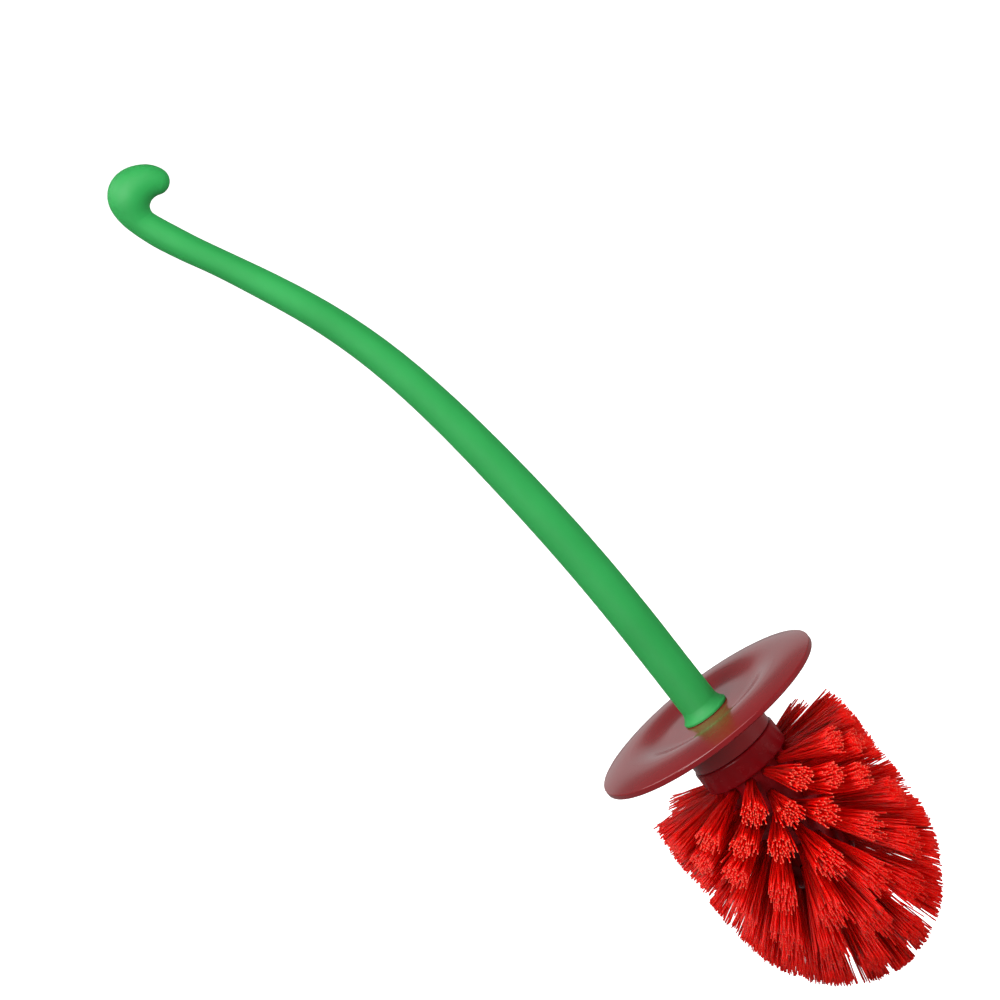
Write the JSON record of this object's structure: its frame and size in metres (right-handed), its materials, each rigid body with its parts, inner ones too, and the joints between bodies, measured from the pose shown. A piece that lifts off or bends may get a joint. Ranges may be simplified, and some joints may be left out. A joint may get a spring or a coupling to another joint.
{
  "type": "toilet brush",
  "caption": "Toilet brush with a hooked stem-like handle, a round dished lid that covers a holder's mouth, and a screw-on bristle head.",
  "frame": {"origin": "centre of the flat ring under the lid's rim, on the brush head's axis", "axes": "+Z along the head's axis towards the handle; the handle bends in the XZ plane towards -X; -Y is the front"},
  "size_m": [0.1002, 0.0914, 0.3981],
  "materials": {
    "handle_green": "satin moulded polypropylene",
    "lid_red": "glossy dark red plastic",
    "core_red": "glossy dark red plastic",
    "bristle_red": "extruded filament, cut ends lighter",
    "stud_steel": "zinc plated",
    "anchor_steel": "bright flat wire"
  },
  "bodies": {
    "handle": {"stem_handle": "handle_green", "threaded_stud": "stud_steel"},
    "lid": {"lid": "lid_red"},
    "head": {"head_core": "core_red", "tufts_row_1": "bristle_red", "anchors_row_1": "anchor_steel", "tufts_row_2": "bristle_red", "anchors_row_2": "anchor_steel", "tufts_row_3": "bristle_red", "anchors_row_3": "anchor_steel", "tufts_row_4": "bristle_red", "anchors_row_4": "anchor_steel", "tufts_row_5": "bristle_red", "anchors_row_5": "anchor_steel", "tufts_row_6": "bristle_red", "anchors_row_6": "anchor_steel", "tufts_row_7": "bristle_red", "anchors_row_7": "anchor_steel", "tufts_row_8": "bristle_red", "anchors_row_8": "anchor_steel"}
  },
  "joints": [
    {"name": "head_turn", "type": "hinge", "parent": "lid", "child": "head", "pos_m": [0, 0, -0.0137], "axis": [0, 0, -1], "range_deg": [0, 1080]},
    {"name": "lid_slide", "type": "slide", "parent": "handle", "child": "lid", "axis": [0, 0, -1], "range_m": [0, 0.012]}
  ],
  "couplings": [
    {"joint": "lid_slide", "follows": "head_turn", "m_per_rad": 0.00063661}
  ]
}
